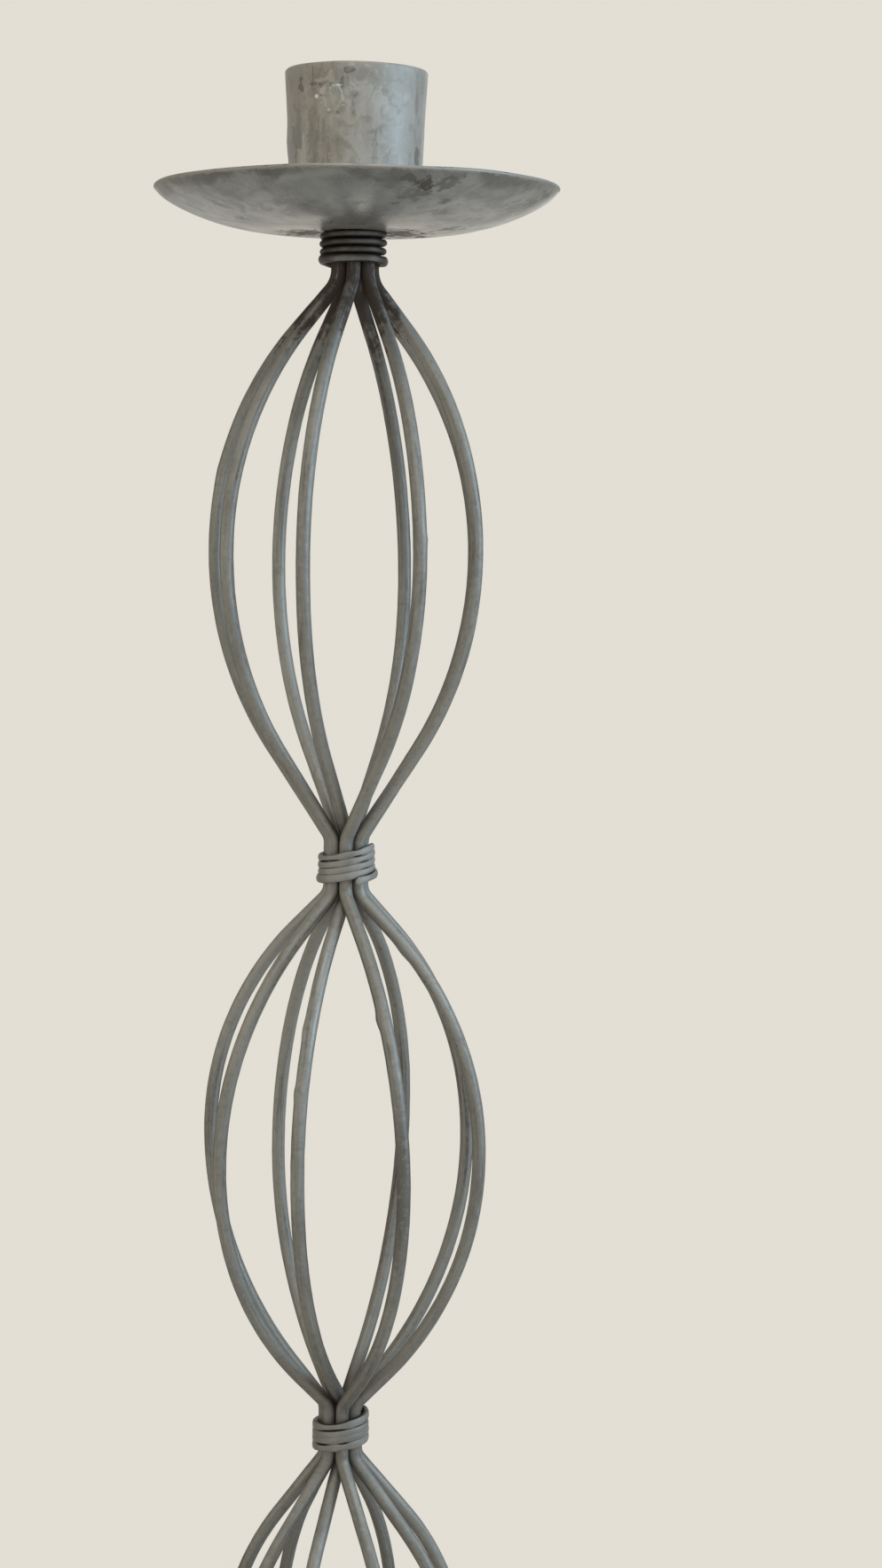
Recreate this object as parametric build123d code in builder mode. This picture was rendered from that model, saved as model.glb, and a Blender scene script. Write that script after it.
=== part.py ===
from build123d import *
import os
from math import asin, atan2, cos, hypot, pi, radians, sin, sqrt

# A wire candlestick, in millimetres: +Z is up, the front faces -Y, and the origin lies on the
# table under the middle of the base. Eight long wires rise from the base dish to the drip pan,
# bowed out into three cages and drawn together by a wound binding at every waist.

# Base dish, a sheet saucer turned upside down
BASE_RADIUS = 55.0
BASE_HEIGHT = 13.0
BASE_FLAT_RADIUS = 13.0
BASE_SHEET = 1.2

# Stem wires, and the air between two of them inside a bundle
WIRE_D = 2.7
WAIST_WIRE_GAP = 0.12
END_WIRE_GAP = 0.26
WAIST_BEND_RADIUS = 4.0
END_BEND_RADIUS = 6.0

# Bundles: the wire that runs up the middle, its way out between the others, and in wire thicknesses
# how far it is set back from that way and how far the two waists stand out of true
WAIST_CORE_WIRE = 0
END_CORE_WIRE = 4
LOWER_WAY_OUT_DEGREES = -110.0
UPPER_WAY_OUT_DEGREES = -116.0
END_WAY_OUT_DEGREES = 86.0
CORE_SET_BACK_SHARE = 0.14815
WAIST_SHIFT_SHARE = -0.22222

# Cages, from the foot upwards: clear height between bindings, and reach of the wire at the belly
LOWER_CAGE_HEIGHT = 110.0
MIDDLE_CAGE_HEIGHT = 109.5
UPPER_CAGE_HEIGHT = 112.5
LOWER_BELLY_RADIUS = 27.6
MIDDLE_BELLY_RADIUS = 27.6
UPPER_BELLY_RADIUS = 26.5

# How round the lower and the upper half of each cage is, where 1 leaves no straight run
LOWER_ROUND_SHARES = (0.91, 0.92)
MIDDLE_ROUND_SHARES = (0.98, 0.977)
UPPER_ROUND_SHARES = (0.895, 0.97)

# Hand-bent differences, one for each wire from the front left round by the right: swing of the
# belly in wire spacings, its reach, and its lift in cage heights
LOWER_SWING_SHARES = (0.03, 0.05, 0.04, -0.06, -0.03, 0.16, -0.03, 0.22)
MIDDLE_SWING_SHARES = (0.05, 0.03, 0.16, 0.05, -0.08, 0.20, 0.30, 0.06)
UPPER_SWING_SHARES = (0.05, 0.14, -0.06, -0.02, -0.04, 0.27, 0.49, 0.06)
LOWER_REACH_SHARES = (1.00, 1.00, 1.00, 1.00, 1.00, 1.00, 1.00, 1.00)
MIDDLE_REACH_SHARES = (0.98, 1.00, 1.00, 1.00, 1.00, 1.00, 1.014, 1.005)
UPPER_REACH_SHARES = (1.00, 1.00, 1.00, 1.00, 1.00, 1.00, 1.014, 1.005)
LOWER_LIFT_SHARES = (0.000, 0.000, 0.000, 0.000, 0.010, -0.010, -0.010, 0.000)
MIDDLE_LIFT_SHARES = (0.025, -0.023, 0.007, -0.004, 0.037, -0.052, 0.034, -0.009)
UPPER_LIFT_SHARES = (0.002, 0.005, 0.016, 0.005, -0.054, -0.013, 0.019, 0.014)

# Bindings
BINDING_WIRE_D = 1.20
BINDING_TURN_GAP = 0.43
BINDING_CLEARANCE = 0.10
BINDING_END_CLEARANCE = 0.15
END_BINDING_TURNS = 3.5
WAIST_BINDING_TURNS = 4.25
BINDING_START_DEGREES = 175.0

# Drip pan
PAN_RADIUS = 39.0
PAN_DEPTH = 7.7
PAN_FLAT_RADIUS = 15.0
PAN_SHEET = 0.9

# Candle cup, straight where the candle is held and flared above
CUP_BORE_RADIUS = 12.0
CUP_MOUTH_RADIUS = 12.85
CUP_SEAT_LENGTH = 12.5
CUP_HEIGHT = 29.3
CUP_SHEET = 0.9
CUP_LIP_ROUND = 0.3

# Braze round the cup, and the welds among the wire ends
BRAZE_LEG = 1.2
BRAZE_CLEARANCE = 0.06
WELD_CLEARANCE = 0.08
WELD_LENGTH = 5.0

# Sizes that follow from those above
WIRE_COUNT = len(UPPER_LIFT_SHARES)
WIRE_RADIUS = WIRE_D / 2
CORE_SET_BACK = WIRE_D * CORE_SET_BACK_SHARE
WAIST_SHIFT = WIRE_D * WAIST_SHIFT_SHARE
SPACING = 2 * pi / WIRE_COUNT
PACKED_SPACING = 2 * pi / (WIRE_COUNT - 1)
WAIST_BUNDLE_RADIUS = (WIRE_D + WAIST_WIRE_GAP) / (2 * sin(PACKED_SPACING / 2))
END_BUNDLE_RADIUS = (WIRE_D + END_WIRE_GAP) / (2 * sin(PACKED_SPACING / 2))
BINDING_PITCH = BINDING_WIRE_D + BINDING_TURN_GAP
BINDING_ENDS = BINDING_WIRE_D + 2 * BINDING_END_CLEARANCE
END_BINDING_HEIGHT = END_BINDING_TURNS * BINDING_PITCH + BINDING_ENDS
WAIST_BINDING_HEIGHT = WAIST_BINDING_TURNS * BINDING_PITCH + BINDING_ENDS

# Levels, from the table upwards
FOOT_LEVEL = BASE_HEIGHT
LOWER_CAGE_LEVEL = FOOT_LEVEL + END_BINDING_HEIGHT
LOWER_WAIST_LEVEL = LOWER_CAGE_LEVEL + LOWER_CAGE_HEIGHT
MIDDLE_CAGE_LEVEL = LOWER_WAIST_LEVEL + WAIST_BINDING_HEIGHT
UPPER_WAIST_LEVEL = MIDDLE_CAGE_LEVEL + MIDDLE_CAGE_HEIGHT
UPPER_CAGE_LEVEL = UPPER_WAIST_LEVEL + WAIST_BINDING_HEIGHT
TOP_WAIST_LEVEL = UPPER_CAGE_LEVEL + UPPER_CAGE_HEIGHT
PAN_LEVEL = TOP_WAIST_LEVEL + END_BINDING_HEIGHT
CUP_LEVEL = PAN_LEVEL + PAN_SHEET

UP = Vector(0, 0, 1)

os.makedirs("parts", exist_ok=True)


# Each bundle: its middle wire, that wire's way out, its radius and its shift
END_BUNDLE = (END_CORE_WIRE, radians(END_WAY_OUT_DEGREES), END_BUNDLE_RADIUS, 0.0)
LOWER_BUNDLE = (WAIST_CORE_WIRE, radians(LOWER_WAY_OUT_DEGREES), WAIST_BUNDLE_RADIUS, WAIST_SHIFT)
UPPER_BUNDLE = (WAIST_CORE_WIRE, radians(UPPER_WAY_OUT_DEGREES), WAIST_BUNDLE_RADIUS, WAIST_SHIFT)

# Each cage: the bundles and the bends below and above, and its levels and shape
CAGES = (
    (END_BUNDLE, END_BEND_RADIUS, LOWER_CAGE_LEVEL,
     LOWER_BUNDLE, WAIST_BEND_RADIUS, LOWER_WAIST_LEVEL,
     LOWER_BELLY_RADIUS, LOWER_ROUND_SHARES,
     LOWER_SWING_SHARES, LOWER_REACH_SHARES, LOWER_LIFT_SHARES),
    (LOWER_BUNDLE, WAIST_BEND_RADIUS, MIDDLE_CAGE_LEVEL,
     UPPER_BUNDLE, WAIST_BEND_RADIUS, UPPER_WAIST_LEVEL,
     MIDDLE_BELLY_RADIUS, MIDDLE_ROUND_SHARES,
     MIDDLE_SWING_SHARES, MIDDLE_REACH_SHARES, MIDDLE_LIFT_SHARES),
    (UPPER_BUNDLE, WAIST_BEND_RADIUS, UPPER_CAGE_LEVEL,
     END_BUNDLE, END_BEND_RADIUS, TOP_WAIST_LEVEL,
     UPPER_BELLY_RADIUS, UPPER_ROUND_SHARES,
     UPPER_SWING_SHARES, UPPER_REACH_SHARES, UPPER_LIFT_SHARES),
)


def polar(radius, angle, height):
    return Vector(radius * cos(angle), radius * sin(angle), height)


# In a bundle one wire runs up the middle and the others close round it, parted at its way out
def wire_seat(bundle, k, height):
    core, way_out, radius, shift = bundle
    place = (k - core) % WIRE_COUNT
    if place == 0:
        spot = polar(-CORE_SET_BACK, way_out, height)
    else:
        spot = polar(radius, way_out + (place - 0.5) * PACKED_SPACING, height)
    return spot + Vector(shift, 0, 0)


# Half a cage runs from a binding to the belly: a bend, a straight run and a wide arc
def half_cage(waist, bend, belly, round_share):
    out = Vector(belly.X - waist.X, belly.Y - waist.Y, 0)
    rise = belly.Z - waist.Z
    reach = out.length
    height = abs(rise)
    wide = round_share * ((reach**2 + height**2) / (2 * reach) - bend)
    across = reach - wide - bend
    lean = atan2(across, height) + asin((bend + wide) / hypot(across, height))
    step = out.normalized()
    climb = UP * (rise / height)
    bend_end = waist + step * (bend * (1 - cos(lean))) + climb * (bend * sin(lean))
    belly_end = belly - step * (wide * (1 - cos(lean))) - climb * (wide * sin(lean))
    return bend_end, belly_end


# One wire's centreline, from the base dish up to the drip pan; the middle wire ends at the welds
def wire_line(k):
    weld = WELD_LENGTH if k == END_CORE_WIRE else 0
    start = wire_seat(END_BUNDLE, k, FOOT_LEVEL + weld)
    with BuildLine() as line:
        for cage in CAGES:
            low_bundle, low_bend, bottom, high_bundle, high_bend, top = cage[:6]
            radius, rounds, swings, reaches, lifts = cage[6:]
            low = wire_seat(low_bundle, k, bottom)
            high = wire_seat(high_bundle, k, top)
            belly_angle = (k - 0.5 + swings[k]) * SPACING - pi / 2
            belly_level = bottom + (top - bottom) * (0.5 + lifts[k])
            belly = polar(radius * reaches[k], belly_angle, belly_level)
            low_leave, low_arrive = half_cage(low, low_bend, belly, rounds[0])
            high_leave, high_arrive = half_cage(high, high_bend, belly, rounds[1])
            Line(start, low)
            TangentArc(low, low_leave, tangent=UP)
            Line(low_leave, low_arrive)
            TangentArc(low_arrive, belly, tangent=low_arrive - low_leave)
            TangentArc(belly, high_arrive, tangent=UP)
            Line(high_arrive, high_leave)
            TangentArc(high_leave, high, tangent=high_leave - high_arrive)
            start = high
        Line(start, wire_seat(END_BUNDLE, k, PAN_LEVEL - weld))
    return line.line


# A binding's centreline: two arcs to every quarter turn, and a short straight tail at each end
def binding_line(bundle, level, turns):
    core, way_out, bundle_radius, shift = bundle
    radius = bundle_radius + WIRE_RADIUS + BINDING_CLEARANCE + BINDING_WIRE_D / 2
    low = level + BINDING_END_CLEARANCE + BINDING_WIRE_D / 2
    quarters = int(4 * turns)
    start = radians(BINDING_START_DEGREES)
    points = []
    courses = []
    for quarter in range(quarters + 1):
        angle = start + quarter * pi / 2
        points.append(polar(radius, angle, low + quarter * BINDING_PITCH / 4) + Vector(shift, 0, 0))
        course = polar(radius, angle + pi / 2, BINDING_PITCH / (2 * pi))
        courses.append(course.normalized())
    with BuildLine() as line:
        Line(points[0] - courses[0] * BINDING_WIRE_D, points[0])
        for a, b, leave, arrive in zip(points, points[1:], courses, courses[1:]):
            chord = b - a
            course = leave + arrive
            bow = 2 * (1 - leave.dot(arrive))
            pull = chord.dot(course)
            span = (sqrt(pull**2 + bow * chord.dot(chord)) - pull) / bow
            middle = (a + b + (leave - arrive) * span) / 2
            TangentArc(a, middle, tangent=leave)
            TangentArc(middle, b, tangent=chord - course * span)
        Line(points[-1], points[-1] + courses[-1] * BINDING_WIRE_D)
    return line.line


# The least gap between the turns of one binding, measured on points a half turn apart or more
def least_gap(line, turns):
    per_turn = 48
    count = int(per_turn * turns)
    points = [line @ (i / count) for i in range(count + 1)]
    distances = []
    for i, a in enumerate(points):
        for b in points[i + per_turn // 2:]:
            distances.append((a - b).length)
    return min(distances) - BINDING_WIRE_D


# Base dish
base_bend = ((BASE_RADIUS - BASE_FLAT_RADIUS)**2 + BASE_HEIGHT**2) / (2 * BASE_HEIGHT)
base_inner_reach = sqrt((base_bend - BASE_SHEET)**2 - (base_bend - BASE_HEIGHT)**2)
base_inner_radius = BASE_FLAT_RADIUS + base_inner_reach
base_inner_level = BASE_HEIGHT - BASE_SHEET
with BuildPart() as base_dish:
    with BuildSketch(Plane.XZ):
        with BuildLine():
            Line((0, BASE_HEIGHT), (BASE_FLAT_RADIUS, BASE_HEIGHT))
            TangentArc((BASE_FLAT_RADIUS, BASE_HEIGHT), (BASE_RADIUS, 0), tangent=(1, 0))
            Line((BASE_RADIUS, 0), (base_inner_radius, 0))
            TangentArc((BASE_FLAT_RADIUS, base_inner_level), (base_inner_radius, 0), tangent=(1, 0))
            Line((BASE_FLAT_RADIUS, base_inner_level), (0, base_inner_level))
            Line((0, base_inner_level), (0, BASE_HEIGHT))
        make_face()
    revolve(axis=Axis.Z)
base_dish.part.label = "base_dish"
export_step(base_dish.part, "parts/base_dish.step")

# Stem wires
for k in range(WIRE_COUNT):
    course = wire_line(k)
    with BuildPart() as stem_wire:
        with BuildSketch(Plane(origin=course @ 0, z_dir=UP)):
            Circle(WIRE_RADIUS)
        sweep(path=course)
    stem_wire.part.label = f"stem_wire_{k + 1}"
    export_step(stem_wire.part, f"parts/stem_wire_{k + 1}.step")

# Bindings
bindings = (
    ("foot_binding", END_BUNDLE, FOOT_LEVEL, END_BINDING_TURNS),
    ("lower_binding", LOWER_BUNDLE, LOWER_WAIST_LEVEL, WAIST_BINDING_TURNS),
    ("upper_binding", UPPER_BUNDLE, UPPER_WAIST_LEVEL, WAIST_BINDING_TURNS),
    ("top_binding", END_BUNDLE, TOP_WAIST_LEVEL, END_BINDING_TURNS),
)
for name, bundle, level, turns in bindings:
    course = binding_line(bundle, level, turns)
    with BuildPart() as binding:
        with BuildSketch(Plane(origin=course @ 0, z_dir=course % 0)):
            Circle(BINDING_WIRE_D / 2)
        sweep(path=course)
    binding.part.label = name
    export_step(binding.part, f"parts/{name}.step")
    print(name, "least gap between turns", round(least_gap(course, turns), 3), "mm")

# Welds in the middle of the wire ends, each on the end of the middle wire
weld_radius = END_BUNDLE_RADIUS - WIRE_RADIUS - WELD_CLEARANCE
with BuildPart() as foot_weld:
    with BuildSketch(Plane.XY.offset(FOOT_LEVEL)):
        Circle(weld_radius)
    extrude(amount=WELD_LENGTH)
foot_weld.part.label = "foot_weld"
export_step(foot_weld.part, "parts/foot_weld.step")

with BuildPart() as top_weld:
    with BuildSketch(Plane.XY.offset(PAN_LEVEL)):
        Circle(weld_radius)
    extrude(amount=-WELD_LENGTH)
top_weld.part.label = "top_weld"
export_step(top_weld.part, "parts/top_weld.step")

# Drip pan
pan_bend = ((PAN_RADIUS - PAN_FLAT_RADIUS)**2 + PAN_DEPTH**2) / (2 * PAN_DEPTH)
rim_lean = asin((PAN_RADIUS - PAN_FLAT_RADIUS) / pan_bend)
pan_lip_radius = PAN_FLAT_RADIUS + (pan_bend - PAN_SHEET) * sin(rim_lean)
pan_lip_level = PAN_LEVEL + pan_bend - (pan_bend - PAN_SHEET) * cos(rim_lean)
pan_rim_level = PAN_LEVEL + PAN_DEPTH
with BuildPart() as drip_pan:
    with BuildSketch(Plane.XZ):
        with BuildLine():
            Line((0, PAN_LEVEL), (PAN_FLAT_RADIUS, PAN_LEVEL))
            TangentArc((PAN_FLAT_RADIUS, PAN_LEVEL), (PAN_RADIUS, pan_rim_level), tangent=(1, 0))
            Line((PAN_RADIUS, pan_rim_level), (pan_lip_radius, pan_lip_level))
            TangentArc((PAN_FLAT_RADIUS, CUP_LEVEL), (pan_lip_radius, pan_lip_level), tangent=(1, 0))
            Line((PAN_FLAT_RADIUS, CUP_LEVEL), (0, CUP_LEVEL))
            Line((0, CUP_LEVEL), (0, PAN_LEVEL))
        make_face()
    revolve(axis=Axis.Z)
drip_pan.part.label = "drip_pan"
export_step(drip_pan.part, "parts/drip_pan.step")

# Candle cup
cup_outer_radius = CUP_BORE_RADIUS + CUP_SHEET
mouth_outer_radius = CUP_MOUTH_RADIUS + CUP_SHEET
flare_level = CUP_LEVEL + CUP_SEAT_LENGTH
mouth_level = CUP_LEVEL + CUP_HEIGHT
with BuildPart() as candle_cup:
    with BuildSketch(Plane.XZ):
        with BuildLine():
            Polyline(
                (CUP_BORE_RADIUS, CUP_LEVEL),
                (cup_outer_radius, CUP_LEVEL),
                (cup_outer_radius, flare_level),
                (mouth_outer_radius, mouth_level),
                (CUP_MOUTH_RADIUS, mouth_level),
                (CUP_BORE_RADIUS, flare_level),
                close=True,
            )
        make_face()
    revolve(axis=Axis.Z)
    fillet(candle_cup.edges().group_by(Axis.Z)[-1], CUP_LIP_ROUND)
candle_cup.part.label = "candle_cup"
export_step(candle_cup.part, "parts/candle_cup.step")

# Braze round the foot of the cup
braze_inner_radius = cup_outer_radius + BRAZE_CLEARANCE
braze_outer_radius = braze_inner_radius + BRAZE_LEG
with BuildPart() as cup_braze:
    with BuildSketch(Plane.XZ):
        with BuildLine():
            Line((braze_inner_radius, CUP_LEVEL), (braze_outer_radius, CUP_LEVEL))
            Line((braze_outer_radius, CUP_LEVEL), (braze_inner_radius, CUP_LEVEL + BRAZE_LEG))
            Line((braze_inner_radius, CUP_LEVEL + BRAZE_LEG), (braze_inner_radius, CUP_LEVEL))
        make_face()
    revolve(axis=Axis.Z)
cup_braze.part.label = "cup_braze"
export_step(cup_braze.part, "parts/cup_braze.step")
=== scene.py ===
from math import asin, atan2, copysign, cos, exp, hypot, pi, radians, sin, sqrt, tau

import bmesh
import bpy
from mathutils import Matrix, Vector, noise


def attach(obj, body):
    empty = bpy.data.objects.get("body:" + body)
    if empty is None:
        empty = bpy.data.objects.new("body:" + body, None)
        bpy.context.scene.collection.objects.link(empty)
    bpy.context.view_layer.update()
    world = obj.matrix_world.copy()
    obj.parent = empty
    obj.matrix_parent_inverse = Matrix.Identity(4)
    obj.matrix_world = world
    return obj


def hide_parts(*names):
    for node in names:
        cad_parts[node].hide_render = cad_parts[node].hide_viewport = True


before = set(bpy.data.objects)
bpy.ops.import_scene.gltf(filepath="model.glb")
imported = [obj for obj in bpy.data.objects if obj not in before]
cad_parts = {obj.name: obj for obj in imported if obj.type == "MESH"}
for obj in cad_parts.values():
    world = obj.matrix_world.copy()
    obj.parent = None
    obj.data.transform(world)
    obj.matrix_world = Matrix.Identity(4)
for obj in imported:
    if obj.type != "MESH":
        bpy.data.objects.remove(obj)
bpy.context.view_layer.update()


# Base dish. A round of thin sheet steel, pressed into a shallow dome and zinc-coated, now dull and
# clouded. It stands on its cut edge, and the wire ends are welded to its flat top.
BASE_RADIUS = 0.05499
BASE_HEIGHT = 0.013
BASE_FLAT = 0.013
BASE_SHEET = 0.0012
BASE_UNEVEN = 0.00010
BASE_UNEVEN_SIZE = 0.022
BASE_UNEVEN_SLICE = 0.3
SHEET_SEGMENTS = 144
MERGE_REACH = 1e-6
# Reaches from the axis between which the soot, the brown and the wear come on
BASE_SOOT = (0.015, 0.006)
BASE_BROWN = (0.0505, 0.0545)
BASE_WORN = (0.0546, 0.0549)
SHEET_DARK = (0.149, 0.153, 0.154, 1)
SHEET_GREY = (0.224, 0.231, 0.235, 1)
SHEET_PALE = (0.303, 0.314, 0.320, 1)
SMOKE = (0.060, 0.055, 0.048, 1)
WORN_EDGE = (0.240, 0.232, 0.215, 1)
RIM_BROWN = (0.080, 0.073, 0.062, 1)


def only(made, kind):
    """The vertices or the edges among what an operator has made."""
    return [g for g in made if isinstance(g, kind)]


def run_to(bm, vert, point, steps):
    """Draws a straight stretch of a sheet's profile, from vert to point, and returns its end."""
    step = (Vector(point) - vert.co) / steps
    for _ in range(steps):
        made = bmesh.ops.extrude_vert_indiv(bm, verts=[vert])
        vert = made["verts"][0]
        bmesh.ops.translate(bm, verts=[vert], vec=step)
    return vert


def curve_on(bm, vert, centre, angle, steps):
    """Draws a round stretch of a sheet's profile about centre, and returns its end."""
    made = bmesh.ops.spin(bm, geom=[vert], cent=centre, axis=(0, 1, 0), angle=angle, steps=steps)
    return only(made["geom_last"], bmesh.types.BMVert)[0]


def turn_on_lathe(bm):
    """Turns a profile once round the upright axis and closes its seam and its poles."""
    bmesh.ops.spin(bm, geom=bm.verts[:] + bm.edges[:], cent=(0, 0, 0), axis=(0, 0, 1), angle=tau,
                   steps=SHEET_SEGMENTS, use_merge=True)
    bmesh.ops.remove_doubles(bm, verts=bm.verts[:], dist=MERGE_REACH)
    bmesh.ops.recalc_face_normals(bm, faces=bm.faces[:])


def as_piece(bm, name, material, sharp_degrees=40):
    """Makes the mesh an object of the scene, shaded smooth but for its sharp edges."""
    for face in bm.faces:
        face.smooth = True
    mesh = bpy.data.meshes.new(name)
    bm.to_mesh(mesh)
    bm.free()
    mesh.set_sharp_from_angle(angle=radians(sharp_degrees))
    mesh.materials.append(material)
    piece = bpy.data.objects.new(name, mesh)
    bpy.context.scene.collection.objects.link(piece)
    return piece


def place(tree, kind, values=None, **settings):
    """Adds a shader node with its settings and the values of its unlinked sockets."""
    node = tree.nodes.new(kind)
    for key, value in settings.items():
        setattr(node, key, value)
    for key, value in (values or {}).items():
        node.inputs[key].default_value = value
    return node


def feed(tree, node, sources):
    """Gives each named socket of a node its source, a fixed value or another node's socket."""
    for key, source in sources.items():
        if isinstance(source, (int, float, tuple)):
            node.inputs[key].default_value = source
        else:
            tree.links.new(source, node.inputs[key])


def blend_colour(tree, share, first, second):
    """Mixes two colours, each a fixed colour or a socket, by a share that is a socket."""
    mix = place(tree, "ShaderNodeMix", data_type="RGBA", clamp_factor=True)
    feed(tree, mix, {0: share, 6: first, 7: second})
    return mix.outputs[2]


def ramp(tree, value, low, high, to_low=0.0, to_high=1.0):
    """Carries a value from one range to another, softly and with its ends held."""
    node = place(tree, "ShaderNodeMapRange", interpolation_type="SMOOTHSTEP")
    feed(tree, node, {0: value, 1: low, 2: high, 3: to_low, 4: to_high})
    return node.outputs[0]


def combine(tree, operation, first, second=0.0):
    """Joins two values, each a number or a socket."""
    node = place(tree, "ShaderNodeMath", operation=operation)
    feed(tree, node, {0: first, 1: second})
    return node.outputs[0]


def times(tree, first, second):
    """One value times another."""
    return combine(tree, "MULTIPLY", first, second)


def plus(tree, first, second):
    """One value and another."""
    return combine(tree, "ADD", first, second)


def object_place(tree):
    """Where a point of the surface lies, in the piece's own space."""
    return place(tree, "ShaderNodeTexCoord").outputs["Object"]


def noise_over(tree, where, scale, detail, roughness, distortion=0.0):
    """A noise over the surface, which runs from 0 to 1."""
    node = place(tree, "ShaderNodeTexNoise")
    feed(tree, node, {"Vector": where, "Scale": scale, "Detail": detail, "Roughness": roughness,
                      "Distortion": distortion})
    return node.outputs[0]


def length_of(tree, vector):
    """How long a vector is."""
    node = place(tree, "ShaderNodeVectorMath", operation="LENGTH")
    feed(tree, node, {0: vector})
    return node.outputs["Value"]


def from_axis(tree, where, aside):
    """How far a point is from the upright axis, or from one that stands a little aside."""
    flat = place(tree, "ShaderNodeVectorMath", operation="MULTIPLY_ADD")
    feed(tree, flat, {0: where, 1: (1, 1, 0), 2: (-aside, 0, 0)})
    return length_of(tree, flat.outputs[0])


def new_effect(name, inlets, outlets):
    """Starts a node group that several finishes share, and returns it with its way out."""
    group = bpy.data.node_groups.new(name, "ShaderNodeTree")
    for in_out, sockets in (("INPUT", inlets), ("OUTPUT", outlets)):
        for socket in sockets:
            group.interface.new_socket(socket, in_out=in_out, socket_type="NodeSocketFloat")
    return group, place(group, "NodeGroupOutput")


# Old zinc, on every piece: broad clouds, small flecks and a fine grain
zinc_bloom, outlet = new_effect("zinc_bloom", ["Cloud Size"], ["Cloud", "Fleck", "Grain"])
inlet = place(zinc_bloom, "NodeGroupInput")
where = object_place(zinc_bloom)
cloud_scale = combine(zinc_bloom, "DIVIDE", 1.0, inlet.outputs["Cloud Size"])
fleck_scale = times(zinc_bloom, cloud_scale, 7.0)
clouds = noise_over(zinc_bloom, where, cloud_scale, 5.0, 0.62, 0.7)
flecks = noise_over(zinc_bloom, where, fleck_scale, 3.0, 0.55, 0.3)
feed(zinc_bloom, outlet, {
    "Cloud": ramp(zinc_bloom, clouds, 0.33, 0.67),
    "Fleck": ramp(zinc_bloom, flecks, 0.60, 0.72),
    "Grain": noise_over(zinc_bloom, where, 2600.0, 2.0, 0.6),
})

# Handled sheet, on the base and the pan: soft smears, fine peeling and patches with hard edges
sheet_smears, outlet = new_effect("sheet_smears", [], ["Smear", "Peel", "Patch"])
where = object_place(sheet_smears)
feed(sheet_smears, outlet, {
    "Smear": noise_over(sheet_smears, where, 130.0, 5.0, 0.58, 0.3),
    "Peel": noise_over(sheet_smears, where, 620.0, 3.0, 0.60, 0.4),
    "Patch": noise_over(sheet_smears, where, 230.0, 3.0, 0.50, 1.3),
})


def new_metal(name, metallic, cloud_size):
    """Starts a metal finish: its node tree, its shader and its clouded zinc."""
    material = bpy.data.materials.new(name)
    material.use_nodes = True
    tree = material.node_tree
    shader = tree.nodes["Principled BSDF"]
    shader.inputs["Metallic"].default_value = metallic
    bloom = place(tree, "ShaderNodeGroup", {"Cloud Size": cloud_size}, node_tree=zinc_bloom)
    return material, tree, shader, bloom.outputs


def handled_sheet(tree, bloom, smear, patch, smear_share):
    """Clouded sheet with dark smears, and with dark and pale patches."""
    tone = blend_colour(tree, bloom["Cloud"], SHEET_GREY, SHEET_PALE)
    tone = blend_colour(tree, ramp(tree, smear, 0.48, 0.66, 0.0, smear_share), tone, SHEET_DARK)
    tone = blend_colour(tree, ramp(tree, patch, 0.50, 0.54, 0.0, 0.42), tone, SHEET_DARK)
    return blend_colour(tree, ramp(tree, patch, 0.44, 0.40, 0.0, 0.28), tone, SHEET_PALE)


def set_bump(tree, shader, height, distance):
    """Raises the finish by a height that runs from 0 to 1 over a distance in metres."""
    bump = place(tree, "ShaderNodeBump", {"Strength": 1.0, "Distance": distance})
    feed(tree, bump, {"Height": height})
    feed(tree, shader, {"Normal": bump.outputs[0]})


base_metal, tree, shader, bloom = new_metal("base_zinc", metallic=0.55, cloud_size=0.016)
smear, peel, patch = place(tree, "ShaderNodeGroup", node_tree=sheet_smears).outputs
reach = from_axis(tree, object_place(tree), aside=0.0)
tone = handled_sheet(tree, bloom, smear, patch, smear_share=0.50)
tone = blend_colour(tree, times(tree, bloom["Fleck"], 0.6), tone, SHEET_DARK)
foot = plus(tree, reach, ramp(tree, smear, 0.3, 0.7, -0.003, 0.003))
tone = blend_colour(tree, ramp(tree, foot, *BASE_SOOT, 0.0, 0.60), tone, SMOKE)
rim = plus(tree, reach, ramp(tree, peel, 0.3, 0.7, -0.0006, 0.0004))
tone = blend_colour(tree, ramp(tree, rim, *BASE_BROWN, 0.0, 0.50), tone, RIM_BROWN)
tone = blend_colour(tree, ramp(tree, rim, *BASE_WORN), tone, WORN_EDGE)
feed(tree, shader, {"Base Color": tone, "Roughness": ramp(tree, bloom["Cloud"], 0.0, 1.0, 0.46, 0.60)})
set_bump(tree, shader, bloom["Grain"], 0.00004)

base_bend = ((BASE_RADIUS - BASE_FLAT) ** 2 + BASE_HEIGHT ** 2) / (2 * BASE_HEIGHT)
base_lean = asin((BASE_RADIUS - BASE_FLAT) / base_bend)
inner_bend = base_bend - BASE_SHEET
inner_lean = asin(sqrt(inner_bend ** 2 - (base_bend - BASE_HEIGHT) ** 2) / inner_bend)
bend_centre = (BASE_FLAT, 0, BASE_HEIGHT - base_bend)
bm = bmesh.new()
pen = bm.verts.new((0, 0, BASE_HEIGHT))
pen = run_to(bm, pen, (BASE_FLAT, 0, BASE_HEIGHT), steps=6)
pen = curve_on(bm, pen, bend_centre, base_lean, steps=28)
pen = run_to(bm, pen, (BASE_FLAT + inner_bend * sin(inner_lean), 0, 0), steps=2)
pen = curve_on(bm, pen, bend_centre, -inner_lean, steps=24)
run_to(bm, pen, (0, 0, BASE_HEIGHT - BASE_SHEET), steps=4)
turn_on_lathe(bm)
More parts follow.
